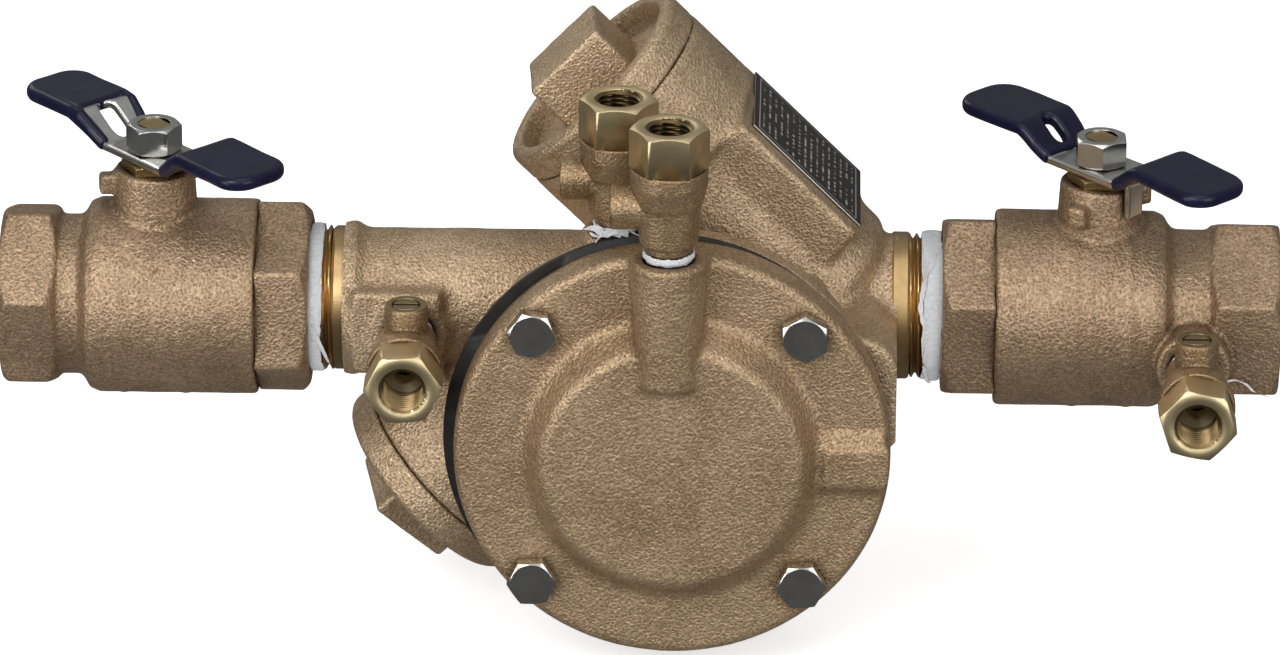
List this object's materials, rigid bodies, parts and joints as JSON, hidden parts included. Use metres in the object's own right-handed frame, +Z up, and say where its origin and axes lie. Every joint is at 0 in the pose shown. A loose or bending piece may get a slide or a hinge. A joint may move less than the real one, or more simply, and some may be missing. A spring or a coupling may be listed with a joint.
{
  "type": "reduced pressure backflow preventer",
  "caption": "Bronze reduced-pressure backflow preventer: angled check valves, round relief cover, ball shut-off valves with winged handles, test cocks.",
  "frame": {"origin": "on the pipe axis where the outlet port's thread starts, 1.5 mm inside the outlet end face", "axes": "+X along the pipe axis from the outlet towards the inlet, +Z up through the valve stems, -Y out through the relief valve cover"},
  "size_m": [0.3772, 0.1276, 0.1848],
  "materials": {
    "cast_bronze": "sand-cast, unpolished, fine grain",
    "machined_brass": "turned and milled, satin",
    "zinc_steel": "zinc plated, bright",
    "stainless_steel": "stainless, satin",
    "ball_chrome": "polished, plated",
    "navy_vinyl": "dipped vinyl, glossy",
    "black_rubber": "moulded, matt",
    "white_ptfe": "white, waxy",
    "dark_plate": "thin dark anodised sheet with pale lines"
  },
  "bodies": {
    "casing": {"main_body": "cast_bronze", "first_check_cap": "cast_bronze", "first_cap_oring": "black_rubber", "first_check_seat": "machined_brass", "first_check_spring": "stainless_steel", "second_check_cap": "cast_bronze", "second_cap_oring": "black_rubber", "second_check_seat": "machined_brass", "second_check_spring": "stainless_steel", "relief_cover": "cast_bronze", "relief_diaphragm": "black_rubber", "relief_seat": "machined_brass", "relief_spring": "stainless_steel", "cover_bolts": "stainless_steel", "name_plate": "dark_plate", "thread_tape": "white_ptfe", "outlet_valve_body": "cast_bronze", "outlet_valve_end": "cast_bronze", "outlet_ball_seats": "white_ptfe", "outlet_stem_packing": "white_ptfe", "outlet_packing_nut": "machined_brass", "inlet_valve_body": "cast_bronze", "inlet_valve_end": "cast_bronze", "inlet_ball_seats": "white_ptfe", "inlet_stem_packing": "white_ptfe", "inlet_packing_nut": "machined_brass", "test_cock_1_body": "cast_bronze", "test_cock_1_end": "machined_brass", "test_cock_2_body": "cast_bronze", "test_cock_2_end": "machined_brass", "test_cock_3_body": "cast_bronze", "test_cock_3_end": "machined_brass", "test_cock_4_body": "cast_bronze", "test_cock_4_end": "machined_brass", "test_cock_seats": "white_ptfe"},
    "outlet_shutoff": {"outlet_ball": "ball_chrome", "outlet_stem": "machined_brass", "outlet_handle": "zinc_steel", "outlet_handle_grips": "navy_vinyl", "outlet_handle_nut": "zinc_steel"},
    "inlet_shutoff": {"inlet_ball": "ball_chrome", "inlet_stem": "machined_brass", "inlet_handle": "zinc_steel", "inlet_handle_grips": "navy_vinyl", "inlet_handle_nut": "zinc_steel"},
    "first_check": {"first_check_poppet": "machined_brass", "first_check_disc": "black_rubber", "first_check_retainer": "stainless_steel"},
    "second_check": {"second_check_poppet": "machined_brass", "second_check_disc": "black_rubber", "second_check_retainer": "stainless_steel"},
    "relief_valve": {"relief_stem": "machined_brass", "relief_plates": "stainless_steel", "relief_disc": "black_rubber", "relief_disc_nut": "stainless_steel"},
    "cock_1": {"test_cock_1_plug": "machined_brass"},
    "cock_2": {"test_cock_2_plug": "machined_brass"},
    "cock_3": {"test_cock_3_plug": "machined_brass"},
    "cock_4": {"test_cock_4_plug": "machined_brass"}
  },
  "joints": [
    {"name": "outlet_handle_turn", "type": "hinge", "parent": "casing", "child": "outlet_shutoff", "pos_m": [0.0438, 0, 0.05], "axis": [0, 0, 1], "range_deg": [-43, 47]},
    {"name": "inlet_handle_turn", "type": "hinge", "parent": "casing", "child": "inlet_shutoff", "pos_m": [0.3222, 0, 0.05], "axis": [0, 0, 1], "range_deg": [-44, 46]},
    {"name": "first_check_lift", "type": "slide", "parent": "casing", "child": "first_check", "axis": [-0.7071, 0, 0.7071], "range_m": [0, 0.012], "stiffness_N_per_m": 900, "springref_m": -0.02, "deforming": ["first_check_spring"]},
    {"name": "second_check_lift", "type": "slide", "parent": "casing", "child": "second_check", "axis": [-0.7071, 0, -0.7071], "range_m": [0, 0.012], "stiffness_N_per_m": 300, "springref_m": -0.015, "deforming": ["second_check_spring"]},
    {"name": "relief_close", "type": "slide", "parent": "casing", "child": "relief_valve", "axis": [0, 1, 0], "range_m": [0, 0.006], "stiffness_N_per_m": 2000, "springref_m": -0.01, "deforming": ["relief_spring", "relief_diaphragm"]},
    {"name": "test_cock_1_turn", "type": "hinge", "parent": "casing", "child": "cock_1", "pos_m": [0.3498, -0.0488, -0.0052], "axis": [0, 0, 1], "range_deg": [0, 90]},
    {"name": "test_cock_2_turn", "type": "hinge", "parent": "casing", "child": "cock_2", "pos_m": [0.1967, -0.073, 0.0607], "axis": [-1, 0, 0], "range_deg": [0, 90]},
    {"name": "test_cock_3_turn", "type": "hinge", "parent": "casing", "child": "cock_3", "pos_m": [0.1815, -0.0446, 0.0579], "axis": [-1, 0, 0], "range_deg": [0, 90]},
    {"name": "test_cock_4_turn", "type": "hinge", "parent": "casing", "child": "cock_4", "pos_m": [0.1198, -0.0406, -0.0012], "axis": [0, 0, 1], "range_deg": [0, 90]}
  ]
}
